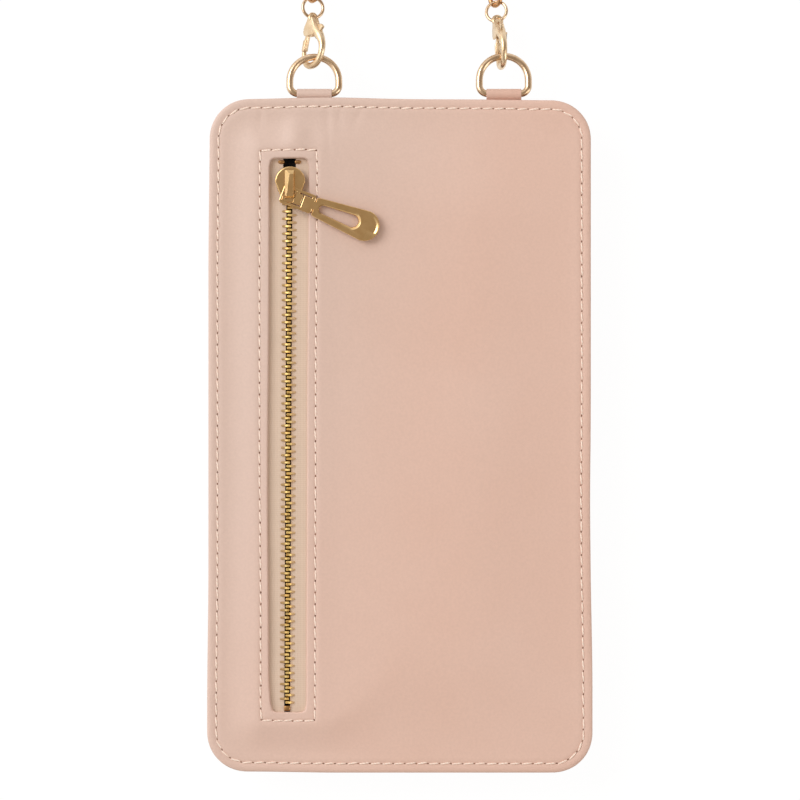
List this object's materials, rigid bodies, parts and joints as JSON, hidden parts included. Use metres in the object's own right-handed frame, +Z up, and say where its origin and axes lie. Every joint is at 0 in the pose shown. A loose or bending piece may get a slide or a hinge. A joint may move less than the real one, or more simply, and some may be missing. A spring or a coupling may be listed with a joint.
{
  "type": "phone pouch",
  "caption": "Slim rectangular phone pouch with a long upright front zip, a slotted puller, rings on the top edge and a clip-on chain strap that lies coiled beside it.",
  "frame": {"origin": "middle of the pouch's outline, on the flat of the back panel that it lies on", "axes": "+Z up out of the front face, +Y towards the rings and the strap, +X to the right in the picture"},
  "size_m": [0.105, 0.2926, 0.018],
  "materials": {
    "leather": "fine grain, matt",
    "black_lining": "plain weave",
    "pale_lining": "plain weave",
    "thread": "twisted thread",
    "tape": "herringbone tape",
    "old_brass": "aged",
    "pale_gold": "polished",
    "spring_steel": "plain",
    "tie_cord": "matt"
  },
  "bodies": {
    "pouch": {"front_panel": "leather", "centre_panel": "leather", "back_panel": "leather", "zip_pocket_lining": "black_lining", "phone_pocket_lining": "pale_lining", "edge_stitches": "thread", "window_stitches": "thread", "zip_tape_left": "tape", "zip_tape_right": "tape", "zip_stop_left": "old_brass", "zip_stop_right": "old_brass", "zip_bottom_stop": "old_brass", "strap_tab_left": "leather", "strap_tab_right": "leather"},
    "slider": {"slider_body": "pale_gold"},
    "puller_link": {"puller_link": "pale_gold"},
    "puller_tab": {"puller_tab": "pale_gold"},
    "d_ring_left": {"d_ring_left": "pale_gold"},
    "d_ring_right": {"d_ring_right": "pale_gold"},
    "strap": {"chain_left_run": "pale_gold", "chain_coil": "pale_gold", "chain_right_run": "pale_gold", "coil_ties": "tie_cord", "jump_ring_left": "pale_gold", "clasp_body_left": "pale_gold", "clasp_pin_left": "pale_gold", "clasp_spring_left": "spring_steel", "jump_ring_right": "pale_gold", "clasp_body_right": "pale_gold", "clasp_pin_right": "pale_gold", "clasp_spring_right": "spring_steel"},
    "trigger_left": {"clasp_trigger_left": "pale_gold"},
    "trigger_right": {"clasp_trigger_right": "pale_gold"},
    "zip_row_left_lower": {"zip_teeth_left_lower": "old_brass"},
    "zip_row_left_upper": {"zip_teeth_left_upper": "old_brass"},
    "zip_row_right_lower": {"zip_teeth_right_lower": "old_brass"},
    "zip_row_right_upper": {"zip_teeth_right_upper": "old_brass"}
  },
  "joints": [
    {"name": "slider_slide", "type": "slide", "parent": "pouch", "child": "slider", "axis": [0, -1, 0], "range_m": [0, 0.135], "deforming": ["zip_teeth_left_lower", "zip_teeth_left_upper", "zip_teeth_right_lower", "zip_teeth_right_upper", "zip_tape_left", "zip_tape_right"]},
    {"name": "zip_left_lower_open", "type": "hinge", "parent": "pouch", "child": "zip_row_left_lower", "pos_m": [-0.0306, -0.075, 0.01345], "axis": [0, 0, 1], "range_deg": [0, 2]},
    {"name": "zip_left_upper_open", "type": "hinge", "parent": "pouch", "child": "zip_row_left_upper", "pos_m": [-0.0306, 0.075, 0.01345], "axis": [0, 0, -1], "range_deg": [0, 2]},
    {"name": "zip_right_lower_open", "type": "hinge", "parent": "pouch", "child": "zip_row_right_lower", "pos_m": [-0.0306, -0.075, 0.01345], "axis": [0, 0, -1], "range_deg": [0, 2]},
    {"name": "zip_right_upper_open", "type": "hinge", "parent": "pouch", "child": "zip_row_right_upper", "pos_m": [-0.0306, 0.075, 0.01345], "axis": [0, 0, 1], "range_deg": [0, 2]},
    {"name": "puller_link_swing", "type": "hinge", "parent": "slider", "child": "puller_link", "pos_m": [-0.0306, 0.0656, 0.0163], "axis": [0, 0, 1], "range_deg": [-142, 4]},
    {"name": "puller_tab_lift", "type": "hinge", "parent": "puller_link", "child": "puller_tab", "pos_m": [-0.02411, 0.06311, 0.0163], "axis": [-0.3584, -0.9336, 0], "range_deg": [0, 120]},
    {"name": "d_ring_left_swing", "type": "hinge", "parent": "pouch", "child": "d_ring_left", "pos_m": [-0.0235, 0.094, 0.011], "axis": [1, 0, 0], "range_deg": [0, 100]},
    {"name": "d_ring_right_swing", "type": "hinge", "parent": "pouch", "child": "d_ring_right", "pos_m": [0.0287, 0.094, 0.011], "axis": [1, 0, 0], "range_deg": [0, 100]},
    {"name": "strap_swing", "type": "hinge", "parent": "d_ring_left", "child": "strap", "pos_m": [-0.0235, 0.10421, 0.00902], "axis": [1, 0, 0], "range_deg": [0, 60]},
    {"name": "trigger_left_press", "type": "hinge", "parent": "strap", "child": "trigger_left", "pos_m": [-0.02397, 0.11086, 0.00706], "axis": [-0.809, 0.1122, 0.577], "range_deg": [0, 22], "stiffness_Nm_per_rad": 0.004, "deforming": ["clasp_spring_left"]},
    {"name": "trigger_right_press", "type": "hinge", "parent": "strap", "child": "trigger_right", "pos_m": [0.02845, 0.11084, 0.00695], "axis": [-0.9511, 0.059, 0.3033], "range_deg": [0, 22], "stiffness_Nm_per_rad": 0.004, "deforming": ["clasp_spring_right"]}
  ],
  "couplings": [
    {"joint": "zip_left_lower_open", "follows": "slider_slide", "rad_per_m": 0.25852},
    {"joint": "zip_left_upper_open", "follows": "slider_slide", "rad_per_m": 0.25852},
    {"joint": "zip_right_lower_open", "follows": "slider_slide", "rad_per_m": 0.25852},
    {"joint": "zip_right_upper_open", "follows": "slider_slide", "rad_per_m": 0.25852},
    {"joint": "d_ring_right_swing", "follows": "d_ring_left_swing", "ratio": 1}
  ]
}
